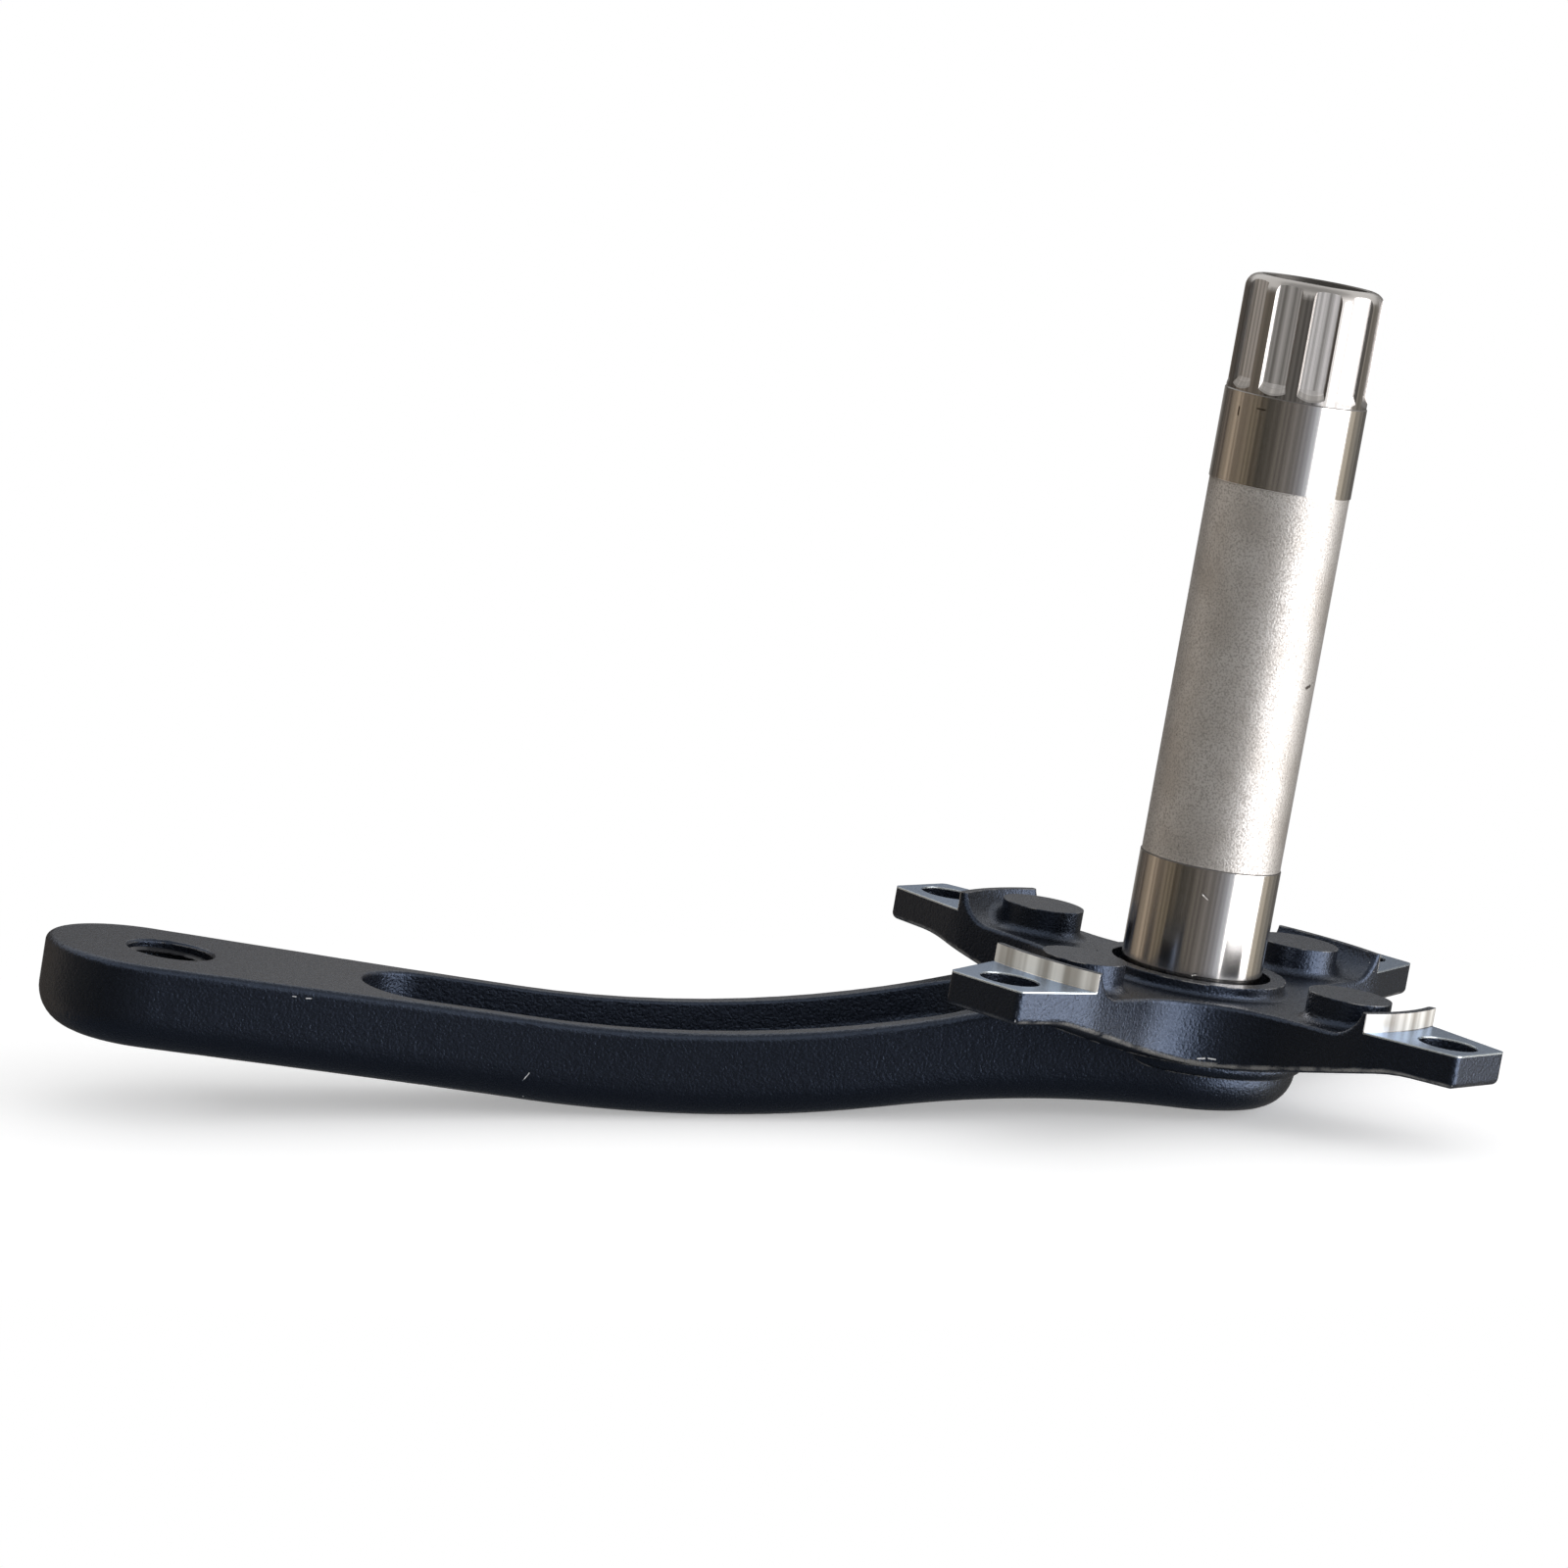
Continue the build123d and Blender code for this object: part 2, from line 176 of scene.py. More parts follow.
@dataclass(frozen=True)
class Graph:
    """Adds the nodes of one shader tree and links them."""

    tree: Tree

    def add(self, kind: str, inputs: Inputs | None = None, **settings: object) -> Node:
        """Adds a node.

        Args:
            kind: The node's Blender type.
            inputs: Values or sockets for its inputs, by name or index.
            settings: Properties to set on the node itself.

        Returns:
            The new node.
        """
        node = self.tree.nodes.new(kind)
        for name, value in settings.items():
            setattr(node, name, value)
        self.fill(node, inputs or {})
        return node

    def fill(self, node: Node, inputs: Inputs) -> None:
        """Feeds inputs of a node.

        Args:
            node: The node to feed.
            inputs: Sockets to link or values to set, by the input's name or index.
        """
        for key, value in inputs.items():
            if isinstance(value, Socket):
                self.tree.links.new(value, node.inputs[key])
            else:
                node.inputs[key].default_value = value

    def math(self, operation: str, first: Input, second: Input = 0.0, clamp: bool = False) -> Socket:
        """Adds a Math node and returns its result."""
        node = self.add("ShaderNodeMath", {0: first, 1: second}, operation=operation, use_clamp=clamp)
        return node.outputs[0]

    def chain(self, operation: str, first: Input, *others: Input) -> Socket:
        """Joins values in turn by one operation.

        Args:
            operation: The Math node's operation.
            first: The first value.
            others: The values to join to it.

        Returns:
            The last result.
        """
        for other in others:
            first = self.math(operation, first, other)
        return first

    def product(self, *values: Input) -> Socket:
        """Multiplies two or more values and returns the result."""
        return self.chain("MULTIPLY", *values)

    def highest(self, *values: Input) -> Socket:
        """Takes the highest of two or more values and returns it."""
        return self.chain("MAXIMUM", *values)

    def inverse(self, mask: Input) -> Socket:
        """Turns a mask round and returns the result."""
        return self.math("SUBTRACT", 1.0, mask)

    def vector(self, operation: str, first: Input, second: Input) -> Socket:
        """Adds a Vector Math node and returns its vector."""
        node = self.add("ShaderNodeVectorMath", {0: first, 1: second}, operation=operation)
        return node.outputs["Vector"]

    def measure(self, operation: str, first: Input, second: Input = (0.0, 0.0, 0.0)) -> Socket:
        """Adds a Vector Math node and returns the number that it gives."""
        node = self.add("ShaderNodeVectorMath", {0: first, 1: second}, operation=operation)
        return node.outputs["Value"]

    def scale(self, vector: Socket, factor: Input) -> Socket:
        """Multiplies a vector by a number and returns the result."""
        node = self.add("ShaderNodeVectorMath", {0: vector, "Scale": factor}, operation="SCALE")
        return node.outputs["Vector"]

    def ramp(
        self, value: Input, low: Input, high: Input,
        start: Input = 0.0, end: Input = 1.0, smooth: bool = True,
    ) -> Socket:
        """Maps a value from one range to another.

        Args:
            value: What is mapped.
            low: The value that gives start.
            high: The value that gives end.
            start: The result at low.
            end: The result at high.
            smooth: Whether the result eases in and out at the ends.

        Returns:
            The mapped value.
        """
        inputs = {"Value": value, "From Min": low, "From Max": high, "To Min": start, "To Max": end}
        kind = "SMOOTHSTEP" if smooth else "LINEAR"
        return self.add("ShaderNodeMapRange", inputs, interpolation_type=kind).outputs["Result"]

    def blend(self, factor: Input, first: Input, second: Input) -> Socket:
        """Mixes two numbers by a factor and returns the result."""
        return self.add("ShaderNodeMix", {0: factor, 2: first, 3: second}, data_type="FLOAT").outputs[0]

    def tint(self, factor: Input, first: Input, second: Input) -> Socket:
        """Mixes two colours by a factor and returns the result."""
        return self.add("ShaderNodeMix", {0: factor, 6: first, 7: second}, data_type="RGBA").outputs[2]

    def cover(self, colour: Input, *layers: tuple[Socket, Input]) -> Socket:
        """Lays colours over one another.

        Args:
            colour: The lowest colour.
            layers: The mask and colour of each layer over it, from the lowest up.

        Returns:
            The colour that is seen.
        """
        for mask, tone in layers:
            colour = self.tint(mask, colour, tone)
        return colour

    def noise(self, place: Socket, scale: Input, detail: float = 2.0) -> Socket:
        """Adds a noise texture at a place and returns its value."""
        return self.add("ShaderNodeTexNoise", {"Vector": place, "Scale": scale, "Detail": detail}).outputs[0]

    def streaks(self, value: Socket, pitch: float, detail: float = 2.0, axis: str = "X") -> Socket:
        """Adds noise that changes with one value alone.

        Args:
            value: What the noise changes with.
            pitch: How far the value runs from one streak to the next.
            detail: How much finer noise is laid over the streaks.
            axis: The axis of the noise that the value runs along.

        Returns:
            The noise's value.
        """
        line = self.add("ShaderNodeCombineXYZ", {axis: self.math("DIVIDE", value, pitch)})
        return self.noise(line.outputs[0], 1.0, detail)

    def rounded(self, radius: Input) -> Socket:
        """Adds the normal of the surface with its edges rounded by a radius in metres, and returns it."""
        return self.add("ShaderNodeBevel", {"Radius": radius}, samples=BEVEL_SAMPLES).outputs[0]

    def lean(self) -> Socket:
        """Returns how far the surface faces up: one for straight up, minus one for straight down."""
        own = self.add("ShaderNodeNewGeometry").outputs["Normal"]
        return self.add("ShaderNodeSeparateXYZ", {0: own}).outputs["Z"]

    def bump(self, height: Socket, depth: float, normal: Socket | None = None) -> Socket:
        """Turns a height into a normal.

        Args:
            height: The surface's height.
            depth: What one unit of height stands for, in millimetres.
            normal: The normal that the height is laid over, or none for the surface's own.

        Returns:
            The new normal.
        """
        inputs = {"Strength": 1.0, "Distance": depth * MM, "Height": height}
        if normal is not None:
            inputs["Normal"] = normal
        return self.add("ShaderNodeBump", inputs).outputs[0]

    def group(self, tree: Tree, inputs: Inputs | None = None) -> Sockets:
        """Places a node group and returns its outputs."""
        return self.add("ShaderNodeGroup", inputs, node_tree=tree).outputs


@dataclass
class Effects:
    """The shader node groups that several finishes share, each built once."""

    fleck_fineness: float = 1.7
    fleck_range: Span = (0.62, 0.76)
    cloud_fineness: float = 0.03
    edge_range: Span = (0.985, 0.90)
    patch_range: Span = (0.42, 0.60)
    ragged_fineness: float = 4.0
    least_width: float = 0.4
    core_share: float = 0.5

    def __post_init__(self) -> None:
        """Builds the groups."""
        self.place = self._place()
        self.band = self._band()
        self.grain = self._grain()
        self.wear = self._wear()
        self.nick = self._nick()

    @staticmethod
    def _open(
        name: str, inputs: dict[str, str], outputs: dict[str, str]
    ) -> tuple[Graph, Sockets, Node]:
        """Starts a group.

        Args:
            name: The group's name.
            inputs: The kind of each input socket, by name.
            outputs: The kind of each output socket, by name.

        Returns:
            The group's graph, its input sockets and its output node.
        """
        tree = bpy.data.node_groups.new(name, "ShaderNodeTree")
        for way, sockets in (("INPUT", inputs), ("OUTPUT", outputs)):
            for label, kind in sockets.items():
                tree.interface.new_socket(name=label, in_out=way, socket_type="NodeSocket" + kind)
        graph = Graph(tree)
        return graph, graph.add("NodeGroupInput").outputs, graph.add("NodeGroupOutput")

    def _place(self) -> Tree:
        """Finds where the surface is: in millimetres, and by distance, turn and height at the spindle.

        Returns:
            The group's tree.
        """
        outputs = {"Place": "Vector", "Distance": "Float", "Turn": "Float", "Height": "Float"}
        graph, _, result = self._open("surface place", {}, outputs)
        here = graph.add("ShaderNodeTexCoord").outputs["Object"]
        place = graph.scale(here, 1 / MM)
        parts = graph.add("ShaderNodeSeparateXYZ", {0: place}).outputs
        flat = graph.add("ShaderNodeCombineXYZ", {"X": parts["X"], "Y": parts["Y"]}).outputs[0]
        angle = graph.math("DEGREES", graph.math("ARCTAN2", parts["Y"], parts["X"]))
        found = {
            "Place": place,
            "Distance": graph.measure("LENGTH", flat),
            "Turn": graph.math("FLOORED_MODULO", angle, 360.0),
            "Height": parts["Z"],
        }
        graph.fill(result, found)
        return graph.tree

    def _band(self) -> Tree:
        """Masks what lies between two values, and fades over a blur at each.

        Returns:
            The group's tree.
        """
        inputs = {"Value": "Float", "Low": "Float", "High": "Float", "Blur": "Float"}
        graph, given, result = self._open("band", inputs, {"Mask": "Float"})
        edges = []
        for limit in ("Low", "High"):
            before = graph.math("SUBTRACT", given[limit], given["Blur"])
            after = graph.math("ADD", given[limit], given["Blur"])
            edges.append(graph.ramp(given["Value"], before, after))
        graph.fill(result, {"Mask": graph.math("SUBTRACT", edges[0], edges[1], clamp=True)})
        return graph.tree

    def _grain(self) -> Tree:
        """Makes bead-blasted grain: a fine height, scattered flecks and slow clouds of tone.

        Returns:
            The group's tree.
        """
        outputs = {"Height": "Float", "Fleck": "Float", "Cloud": "Float"}
        graph, given, result = self._open("blasted grain", {"Size": "Float"}, outputs)
        place = graph.group(self.place)["Place"]
        fine = graph.math("DIVIDE", 1.0, given["Size"])
        sparks = graph.noise(place, graph.product(fine, self.fleck_fineness), detail=1.0)
        found = {
            "Height": graph.noise(place, fine, detail=3.0),
            "Fleck": graph.ramp(sparks, *self.fleck_range),
            "Cloud": graph.noise(place, graph.product(fine, self.cloud_fineness), detail=4.0),
        }
        graph.fill(result, found)
        return graph.tree

    def _wear(self) -> Tree:
        """Masks worn edges, where the rounded normal leaves the surface's own, broken up in patches.

        Returns:
            The group's tree.
        """
        inputs = {"Radius": "Float", "Patch": "Float"}
        graph, given, result = self._open("edge wear", inputs, {"Mask": "Float"})
        place = graph.group(self.place)["Place"]
        rounded = graph.rounded(graph.product(given["Radius"], MM))
        own = graph.add("ShaderNodeNewGeometry").outputs["Normal"]
        edge = graph.ramp(graph.measure("DOT_PRODUCT", rounded, own), *self.edge_range)
        patches = graph.noise(place, graph.math("DIVIDE", 1.0, given["Patch"]), detail=4.0)
        graph.fill(result, {"Mask": graph.product(edge, graph.ramp(patches, *self.patch_range))})
        return graph.tree

    def _nick(self) -> Tree:
        """Masks a short scratch or dent: a ragged line of a half run and half width about a centre.

        Returns:
            The group's tree.
        """
        inputs = {"Centre": "Vector", "Run": "Vector", "Width": "Float"}
        graph, given, result = self._open("nick", inputs, {"Mask": "Float"})
        place = graph.group(self.place)["Place"]
        offset = graph.vector("SUBTRACT", place, given["Centre"])
        along = graph.measure("DOT_PRODUCT", offset, given["Run"])
        whole = graph.measure("DOT_PRODUCT", given["Run"], given["Run"])
        share = graph.highest(graph.math("DIVIDE", along, whole), -1.0)
        near = graph.scale(given["Run"], graph.math("MINIMUM", share, 1.0))
        gap = graph.measure("DISTANCE", offset, near)
        ragged = graph.product(graph.noise(place, self.ragged_fineness), given["Width"])
        reach = graph.math("ADD", graph.product(given["Width"], self.least_width), ragged)
        graph.fill(result, {"Mask": graph.ramp(gap, reach, graph.product(reach, self.core_share))})
        return graph.tree


@dataclass(frozen=True)
class Band:
    """A range of one value, and the blur over which its mask fades at each end."""

    low: float
    high: float
    blur: float

    def mask(self, graph: Graph, effects: Effects, value: Socket) -> Socket:
        """Places the band in a material and returns its mask."""
        inputs = {"Value": value, "Low": self.low, "High": self.high, "Blur": self.blur}
        return graph.group(effects.band, inputs)["Mask"]


@dataclass(frozen=True)
class Nick:
    """One scratch or dent in a finish, in millimetres: its centre, half its run and half its width."""

    centre: Point
    run: Point
    width: float

    def mask(self, graph: Graph, effects: Effects) -> Socket:
        """Places the mark in a material and returns its mask."""
        inputs = {"Centre": self.centre, "Run": self.run, "Width": self.width}
        return graph.group(effects.nick, inputs)["Mask"]


class Finish(ABC):
    """What the finishes have in common: a material with one Principled shader."""

    @abstractmethod
    def material(self, effects: Effects) -> Material:
        """Builds the finish's material from the shared effects and returns it."""

    @staticmethod
    def start(name: str) -> tuple[Material, Graph, Node]:
        """Starts a material.

        Args:
            name: The material's name.

        Returns:
            The material, its graph and its Principled node.
        """
        material = bpy.data.materials.new(name)
        material.use_nodes = True
        graph = Graph(material.node_tree)
        return material, graph, material.node_tree.nodes["Principled BSDF"]

    @staticmethod
    def marks(graph: Graph, effects: Effects, nicks: tuple[Nick, ...]) -> Socket:
        """Places several marks in a material and returns one mask of them all."""
        return graph.highest(*[nick.mask(graph, effects) for nick in nicks])


@dataclass(frozen=True)
class BlackAnodising(Finish):
    """Black anodised, bead-blasted aluminium with bare turned seats, worn edges and a few nicks, and a
    painted highlight on the rounds under the spider's arms.
    """

    black: Colour = (0.0020, 0.0025, 0.0040, 1.0)
    faded: Colour = (0.0046, 0.0052, 0.0072, 1.0)
    # The colour of worn edges, also used for the painted highlight on the rounds under the spider's arms.
    worn_and_highlit: Colour = (0.30, 0.29, 0.27, 1.0)
    bare_dark: Colour = (0.38, 0.345, 0.295, 1.0)
    bare_light: Colour = (0.98, 0.95, 0.88, 1.0)
    bare_seat: Colour = (0.60, 0.64, 0.65, 1.0)
    nicked: Colour = (0.62, 0.62, 0.62, 1.0)
    sheen: Colour = (0.56, 0.70, 1.0, 1.0)
    sheen_level: float = 0.78
    seat_metal: float = 0.9
    wall_metal: float = 0.15
    # How metallic the worn edges and the painted highlight are.
    worn_and_highlit_metal: float = 0.5
    roughness: Span = (0.24, 0.38)
    bare_roughness: float = 0.26
    grain_size: float = 0.46
    grain_depth: float = 0.13
    forged_size: float = 1.8
    forged_share: float = 0.5
    nick_depth: float = 2.0
    register_radius: float = 43.5
    register_height: float = 3.05
    seat_edge: float = 0.28
    mask_margin: float = 0.12
    mask_blur: float = 0.03
    tool_mark_turn: float = 6.4
    tool_mark_range: Span = (0.38, 0.62)
    wear_radius: float = 0.35
    wear_patch: float = 3.0
    # The rounds under the spider's arms that face partly down, lightened partly as wear and partly as a
    # painted highlight.
    edge_wear_and_highlight_lean: Band = Band(-0.70, -0.30, 0.15)
    edge_wear_and_highlight_reach: Band = Band(21.5, 58.0, 1.0)
    edge_wear_and_highlight_depth: Band = Band(-12.5, -5.0, 0.3)
    edge_wear_and_highlight_patches: Span = (0.30, 0.60)
    nicks: tuple[Nick, ...] = (
        Nick((-109.6, -14.1, -32.4), (0.5, -0.1, 0.9), 0.14),
        Nick((-109.2, -11.4, -36.2), (0.1, 0.0, 0.1), 0.18),
        Nick((-149.4, -15.6, -24.2), (0.3, 0.0, 0.0), 0.13),
        Nick((-147.0, -15.5, -24.2), (0.4, 0.0, 0.05), 0.15),
        Nick((-59.9, 12.1, -18.3), (0.2, 0.0, 0.1), 0.14),
        Nick((-0.2, -22.4, -11.1), (0.6, 0.0, 0.1), 0.22),
        Nick((1.6, -22.45, -10.9), (0.6, 0.0, 0.0), 0.20),
        Nick((35.9, 21.6, 0.9), (0.7, -0.4, -1.1), 0.10),
        Nick((-36.35, -46.05, -2.9), (0.0, 0.0, 2.4), 0.14),
        Nick((36.35, -46.05, -3.1), (0.0, 0.0, 2.2), 0.10),
    )

    def bare_masks(self, graph: Graph, effects: Effects) -> tuple[Socket, Socket]:
        """Finds the surfaces that were turned after anodising.

        Args:
            graph: The material's graph.
            effects: The shared node groups.

        Returns:
            The mask of the flat seats and the mask of the register walls.
        """
        where = graph.group(effects.place)
        distance = where["Distance"]
        height = where["Height"]
        inner = self.register_radius - self.mask_margin
        outer = self.register_radius + self.mask_margin
        outside = graph.math("GREATER_THAN", distance, inner)
        level = Band(-self.seat_edge, self.mask_margin, self.mask_blur).mask(graph, effects, height)
        shell = Band(inner, outer, self.mask_blur).mask(graph, effects, distance)
        rise = Band(-self.mask_margin, self.register_height, self.mask_blur).mask(graph, effects, height)
        return graph.product(level, outside), graph.product(shell, rise)

    def wear_and_highlight_mask(self, graph: Graph, effects: Effects) -> Socket:
        """Finds the worn edges, and the rounds under the spider's arms, which are lightened partly as wear
        and partly as a painted highlight.

        Args:
            graph: The material's graph.
            effects: The shared node groups.

        Returns:
            Their mask, broken up in patches.
        """
        where = graph.group(effects.place)
        edges = graph.group(effects.wear, {"Radius": self.wear_radius, "Patch": self.wear_patch})["Mask"]
        # A painted highlight, partly wear too, on the rounds under the spider's arms that face partly down.
        lean = self.edge_wear_and_highlight_lean.mask(graph, effects, graph.lean())
        reach = self.edge_wear_and_highlight_reach.mask(graph, effects, where["Distance"])
        depth = self.edge_wear_and_highlight_depth.mask(graph, effects, where["Height"])
        noise = graph.noise(where["Place"], 1 / self.wear_patch, detail=4.0)
        patches = graph.ramp(noise, *self.edge_wear_and_highlight_patches)
        return graph.highest(edges, graph.product(lean, reach, depth, patches))

    def material(self, effects: Effects) -> Material:
        """Builds the material.

        Args:
            effects: The shared node groups.

        Returns:
            The material.
        """
        material, graph, shader = self.start("black_anodising")
        where = graph.group(effects.place)
        grain = graph.group(effects.grain, {"Size": self.grain_size})
        seat, wall = self.bare_masks(graph, effects)
        bare = graph.highest(seat, wall)
        # Worn edges, with a painted highlight on the rounds under the spider's arms.
        wear = self.wear_and_highlight_mask(graph, effects)
        marks = self.marks(graph, effects, self.nicks)

        tool_marks = graph.streaks(where["Turn"], self.tool_mark_turn, detail=3.0)
        cream = graph.tint(graph.ramp(tool_marks, *self.tool_mark_range), self.bare_dark, self.bare_light)
        anodised = graph.tint(grain["Cloud"], self.black, self.faded)
        layers = ((wear, self.worn_and_highlit), (seat, self.bare_seat), (wall, cream), (marks, self.nicked))
        bare_metal = graph.math(
            "ADD", graph.product(seat, self.seat_metal), graph.product(wall, self.wall_metal), clamp=True
        )
        uneven = graph.ramp(grain["Height"], *NOISE_RANGE, *self.roughness)

        forged = graph.product(graph.noise(where["Place"], 1 / self.forged_size), self.forged_share)
        height = graph.product(graph.math("ADD", grain["Height"], forged), graph.inverse(bare))
        dented = graph.math("SUBTRACT", height, graph.product(marks, self.nick_depth))
        surface = {
            "Base Color": graph.cover(anodised, *layers),
            "Metallic": graph.highest(bare_metal, graph.product(wear, self.worn_and_highlit_metal)),
            "Roughness": graph.blend(bare, uneven, self.bare_roughness),
            "Specular IOR Level": self.sheen_level,
            "Specular Tint": self.sheen,
            "Normal": graph.bump(dented, self.grain_depth, graph.rounded(self.wear_radius * MM)),
        }
        graph.fill(shader, surface)
        return material


@dataclass(frozen=True)
class SteelZones:
    """The masks of the spindle's zones."""

    blasted: Socket
    splined: Socket
    floors: Socket
    upward: Socket
    bore: Socket
    ledge: Socket


@dataclass(frozen=True)
class SpindleSteel(Finish):
    """Bare steel tube: ground bearing seats, a blasted middle and broached splines."""

    ground: Colour = (0.64, 0.61, 0.575, 1.0)
    blasted: Colour = (0.84, 0.81, 0.775, 1.0)
    pitted: Colour = (0.62, 0.585, 0.55, 1.0)
    clouded: Colour = (0.72, 0.68, 0.635, 1.0)
    stained: Colour = (0.30, 0.26, 0.22, 1.0)
    broached: Colour = (0.47, 0.445, 0.42, 1.0)
    broached_dark: Colour = (0.20, 0.19, 0.18, 1.0)
    groove_floor: Colour = (0.86, 0.83, 0.81, 1.0)
    groove_floor_dark: Colour = (0.40, 0.38, 0.36, 1.0)
    dark_bore: Colour = (0.16, 0.15, 0.14, 1.0)
    ledge: Colour = (0.22, 0.21, 0.20, 1.0)
    nicked: Colour = (0.92, 0.91, 0.88, 1.0)
    spotted: Colour = (0.16, 0.14, 0.12, 1.0)
    ground_roughness: float = 0.16
    blasted_roughness: float = 0.70
    broached_roughness: float = 0.30
    floor_roughness: float = 0.60
    roughness_spread: Span = (0.08, -0.08)
    lengthwise: float = 0.8
    lengthwise_turn: float = 0.25
    grain_size: float = 0.34
    grain_depth: float = 0.07
    floor_grain: float = 0.35
    nick_depth: float = 3.0
    grind_pitch: float = 0.05
    grind_share: float = 0.015
    edge_blur: float = 0.06
    crest_depth: float = 0.3
    floor_depth: float = 0.6
    bore_wall: float = 2.6
    upward_lean: Span = (0.2, 0.5)
    cloud_range: Span = (0.42, 0.68)
    pit_range: Span = (0.34, 0.56)
    stain_range: Span = (0.46, 0.62)
    score_turn: float = 5.0
    score_range: Span = (0.36, 0.62)
    nicks: tuple[Nick, ...] = (
        Nick((-2.2, -11.8, 14.1), (0.45, 0.0, -0.30), 0.20),
        Nick((-1.7, -11.8, 0.8), (0.25, 0.0, 0.1), 0.22),
    )
    spots: tuple[Nick, ...] = (
        Nick((0.6, -11.95, 81.3), (0.5, 0.05, -1.3), 0.15),
        Nick((-10.4, -6.0, 94.4), (0.0, 0.0, 0.6), 0.28),
        Nick((-7.4, -9.4, 95.5), (0.6, -0.45, 0.0), 0.18),
        Nick((9.5, -7.1, 50.9), (0.4, 0.55, 0.15), 0.40),
    )

    def zones(self, graph: Graph, effects: Effects) -> SteelZones:
        """Finds the zones of the tube from its two bearing seats.

        Args:
            graph: The material's graph.
            effects: The shared node groups.

        Returns:
            The zones' masks.
        """
        right = MountSize.read(Mount.RIGHT_SEAT)
        left = MountSize.read(Mount.LEFT_SEAT)
        where = graph.group(effects.place)
        distance = where["Distance"]
        middle = Band(right.high, left.low, self.edge_blur)
        splined = graph.math("GREATER_THAN", where["Height"], left.high)
        upward = graph.ramp(graph.lean(), *self.upward_lean)
        sunk = graph.math("LESS_THAN", distance, left.radius - self.floor_depth)
        crest = graph.math("GREATER_THAN", distance, left.radius - self.crest_depth)
        return SteelZones(
            blasted=middle.mask(graph, effects, where["Height"]),
            splined=splined,
            floors=graph.product(splined, sunk, graph.inverse(upward)),
            upward=upward,
            bore=graph.math("LESS_THAN", distance, left.radius - self.bore_wall),
            ledge=graph.product(upward, crest),
        )

    def zone_colour(self, graph: Graph, turn: Socket, grain: Sockets, zones: SteelZones) -> Socket:
        """Colours the zones.

        Args:
            graph: The material's graph.
            turn: The turn about the spindle.
            grain: The outputs of the grain.
            zones: The zones' masks.

        Returns:
            The colour without nicks and spots.
        """
        cloudy = graph.tint(graph.ramp(grain["Cloud"], *self.cloud_range), self.blasted, self.clouded)
        grainy = graph.tint(graph.ramp(grain["Height"], *self.pit_range), self.pitted, cloudy)
        stain = graph.product(grain["Fleck"], graph.ramp(grain["Cloud"], *self.stain_range), zones.blasted)
        streaks = graph.streaks(turn, self.score_turn, detail=4.0)
        scores = graph.highest(graph.ramp(streaks, *self.score_range), zones.upward)
        return graph.cover(
            self.ground,
            (zones.splined, graph.tint(scores, self.broached_dark, self.broached)),
            (zones.floors, graph.tint(scores, self.groove_floor_dark, self.groove_floor)),
            (zones.blasted, grainy),
            (stain, self.stained),
            (zones.bore, self.dark_bore),
            (zones.ledge, self.ledge),
        )

    def zone_roughness(self, graph: Graph, grain: Sockets, zones: SteelZones) -> Socket:
        """Gives each zone its roughness.

        Args:
            graph: The material's graph.
            grain: The outputs of the grain.
            zones: The zones' masks.

        Returns:
            The roughness.
        """
        rough = graph.blend(zones.splined, self.ground_roughness, self.broached_roughness)
        rough = graph.blend(zones.floors, rough, self.floor_roughness)
        rough = graph.blend(zones.blasted, rough, self.blasted_roughness)
        uneven = graph.ramp(grain["Height"], *NOISE_RANGE, *self.roughness_spread)
        return graph.math("ADD", rough, graph.product(uneven, zones.blasted))

    def material(self, effects: Effects) -> Material:
        """Builds the material.

        Args:
            effects: The shared node groups.

        Returns:
            The material.
        """
        material, graph, shader = self.start("spindle_steel")
        where = graph.group(effects.place)
        grain = graph.group(effects.grain, {"Size": self.grain_size})
        zones = self.zones(graph, effects)
        marks = self.marks(graph, effects, self.nicks)
        spots = self.marks(graph, effects, self.spots)
        colour = self.zone_colour(graph, where["Turn"], grain, zones)

        rings = graph.streaks(where["Height"], self.grind_pitch, axis="Z")
        grainy = graph.highest(zones.blasted, graph.product(zones.floors, self.floor_grain))
        height = graph.blend(grainy, graph.product(rings, self.grind_share), grain["Height"])
        dented = graph.math("SUBTRACT", height, graph.product(marks, self.nick_depth))
        surface = {
            "Base Color": graph.cover(colour, (marks, self.nicked), (spots, self.spotted)),
            "Metallic": 1.0,
            "Roughness": self.zone_roughness(graph, grain, zones),
            "Anisotropic": self.lengthwise,
            "Anisotropic Rotation": self.lengthwise_turn,
            "Normal": graph.bump(dented, self.grain_depth),
        }
        graph.fill(shader, surface)
        return material


@dataclass(frozen=True)
class CutThread(Finish):
    """The bright or black flanks of a cut thread."""

    name: str
    flank: Colour
    crest: Colour
    metallic: float
    roughness: Span
    wear_radius: float = 0.12
    wear_patch: float = 1.2
    grain_size: float = 0.3
    grain_depth: float = 0.004

    def material(self, effects: Effects) -> Material:
        """Builds the material.

        Args:
            effects: The shared node groups.

        Returns:
            The material.
        """
        material, graph, shader = self.start(self.name)
        grain = graph.group(effects.grain, {"Size": self.grain_size})
        wear = graph.group(effects.wear, {"Radius": self.wear_radius, "Patch": self.wear_patch})["Mask"]
        surface = {
            "Base Color": graph.tint(wear, self.flank, self.crest),
            "Metallic": self.metallic,
            "Roughness": graph.ramp(grain["Cloud"], *NOISE_RANGE, *self.roughness),
            "Normal": graph.bump(grain["Height"], self.grain_depth),
        }
        graph.fill(shader, surface)
        return material


